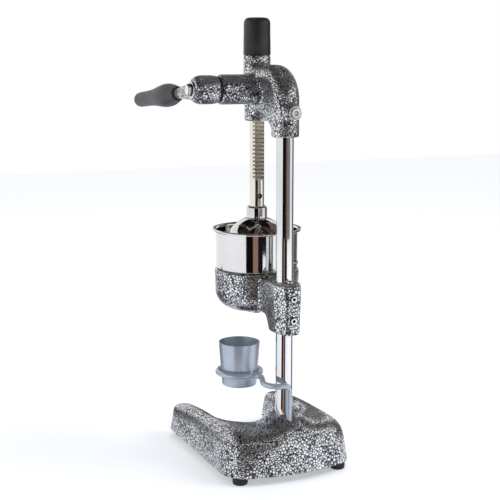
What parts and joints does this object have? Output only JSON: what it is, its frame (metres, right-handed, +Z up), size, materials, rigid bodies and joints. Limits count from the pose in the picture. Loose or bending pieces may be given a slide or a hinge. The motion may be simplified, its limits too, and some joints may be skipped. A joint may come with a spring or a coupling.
{
  "type": "lever citrus press",
  "caption": "Free-standing lever press for citrus fruit: cast base and head, chromed column, rack-driven ram with bell, steel bowl with reamer, swing-out drip cup.",
  "frame": {"origin": "on the floor under the middle of the whole press", "axes": "+Z up, -Y towards the user (the side that the base legs and the lever point to), +X to the lever side"},
  "size_m": [0.2409, 0.4401, 0.721],
  "materials": {
    "hammertone_paint": "silver and dark grey hammertone paint on a casting",
    "silver_paint": "satin silver-blue paint",
    "chromed_tube": "bright chrome plate",
    "polished_steel": "polished stainless steel",
    "satin_steel": "satin stainless steel",
    "machined_steel": "machined bare steel, lightly oiled",
    "zinc_steel": "bright zinc plate",
    "bronze": "plain bearing bronze",
    "black_plastic": "satin black moulded plastic",
    "grey_grip_plastic": "dark grey moulded grip",
    "black_rubber": "moulded black rubber"
  },
  "bodies": {
    "press_frame": {"base_casting": "hammertone_paint", "rubber_feet": "black_rubber", "foot_studs": "zinc_steel", "column_tube": "chromed_tube", "column_plug": "zinc_steel", "column_washer": "zinc_steel", "column_bolt": "zinc_steel", "head_casting": "hammertone_paint", "head_clamp_washer": "zinc_steel", "head_clamp_screw": "zinc_steel", "upper_ram_bush": "bronze", "lower_ram_bush": "bronze", "top_cap": "black_plastic", "pinion_cover": "zinc_steel", "cover_screws": "zinc_steel", "inner_shaft_bush": "bronze", "outer_shaft_bush": "bronze", "juice_bowl": "polished_steel", "bowl_stud": "polished_steel", "strainer_plate": "satin_steel", "reamer_cone": "satin_steel", "bowl_carrier": "hammertone_paint", "carrier_clamp_screws": "zinc_steel", "lug_screw": "polished_steel", "juice_spout": "satin_steel"},
    "lever": {"pinion_shaft": "machined_steel", "pinion_gear": "machined_steel", "pinion_key": "machined_steel", "hub_key": "machined_steel", "thrust_ring": "black_plastic", "lever_hub": "hammertone_paint", "hub_washer": "zinc_steel", "hub_bolt": "zinc_steel", "lever_rod": "machined_steel", "rod_collar": "black_plastic", "lever_grip": "grey_grip_plastic"},
    "ram": {"ram_rack": "machined_steel", "bell_collar": "polished_steel", "press_bell": "polished_steel", "bell_washer": "zinc_steel", "bell_screw": "zinc_steel"},
    "holder": {"cup_holder": "silver_paint"},
    "cup": {"drip_cup": "silver_paint"}
  },
  "joints": [
    {"name": "lever_turn", "type": "hinge", "parent": "press_frame", "child": "lever", "pos_m": [0, 0.0878, 0.609], "axis": [-1, 0, 0], "range_deg": [0, 250]},
    {"name": "ram_slide", "type": "slide", "parent": "press_frame", "child": "ram", "axis": [0, 0, 1], "range_m": [0, 0.0786]},
    {"name": "holder_swing", "type": "hinge", "parent": "press_frame", "child": "holder", "pos_m": [-0.00895, 0.1892, 0.1], "axis": [0, 0, 1], "range_deg": [-30, 100]},
    {"name": "cup_lift", "type": "slide", "parent": "holder", "child": "cup", "axis": [0, 0, 1], "range_m": [0, 0.04]}
  ],
  "couplings": [
    {"joint": "ram_slide", "follows": "lever_turn", "m_per_rad": 0.018}
  ]
}
